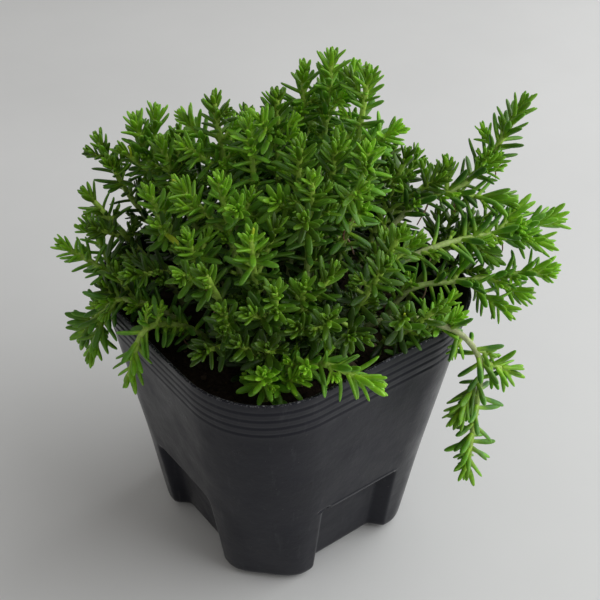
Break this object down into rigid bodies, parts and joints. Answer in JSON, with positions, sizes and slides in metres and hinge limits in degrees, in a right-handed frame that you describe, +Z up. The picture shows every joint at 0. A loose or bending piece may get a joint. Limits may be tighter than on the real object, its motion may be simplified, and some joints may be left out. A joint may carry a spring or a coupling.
{
  "type": "potted sedum",
  "caption": "Clump of small-leaved green stonecrop rooted in soil in a thin square plastic nursery pot, with stems that arch and trail over the rim.",
  "frame": {"origin": "centre of the pot's flat underside, on the surface that the pot stands on", "axes": "+Z up through the pot; X and Y square to the pot's four faces, and the picture looks at the corner between +X and -Y"},
  "size_m": [0.1179, 0.1263, 0.1535],
  "materials": {
    "pot_plastic": "satin",
    "soil": "matte",
    "foliage": "satin"
  },
  "bodies": {
    "root": {"pot": "pot_plastic", "soil": "soil", "stem_arch_right": "foliage", "stem_back_01": "foliage", "stem_back_02": "foliage", "stem_back_03": "foliage", "stem_back_04": "foliage", "stem_back_05": "foliage", "stem_back_06": "foliage", "stem_back_07": "foliage", "stem_back_08": "foliage", "stem_back_09": "foliage", "stem_back_10": "foliage", "stem_back_11": "foliage", "stem_back_12": "foliage", "stem_back_13": "foliage", "stem_back_14": "foliage", "stem_back_15": "foliage", "stem_back_16": "foliage", "stem_back_17": "foliage", "stem_back_18": "foliage", "stem_column": "foliage", "stem_crown": "foliage", "stem_crown_front": "foliage", "stem_crown_left": "foliage", "stem_crown_right": "foliage", "stem_far_left": "foliage", "stem_front_drop": "foliage", "stem_front_left": "foliage", "stem_front_low": "foliage", "stem_front_low_left": "foliage", "stem_front_middle": "foliage", "stem_front_spill": "foliage", "stem_front_upper": "foliage", "stem_inner_left": "foliage", "stem_left_droop": "foliage", "stem_left_front": "foliage", "stem_left_low": "foliage", "stem_left_middle": "foliage", "stem_left_reach": "foliage", "stem_left_side": "foliage", "stem_left_spill": "foliage", "stem_middle": "foliage", "stem_over_rim": "foliage", "stem_reach_right": "foliage", "stem_right_bright": "foliage", "stem_right_front": "foliage", "stem_right_front_upper": "foliage", "stem_right_low": "foliage", "stem_right_middle": "foliage", "stem_shoulder_left": "foliage", "stem_side_right": "foliage", "stem_star_left": "foliage", "stem_star_low": "foliage", "stem_star_middle": "foliage", "stem_tall_left": "foliage", "stem_thin_left": "foliage", "stem_upper_front": "foliage", "stem_upper_front_right": "foliage", "stem_upper_right": "foliage"}
  },
  "joints": []
}
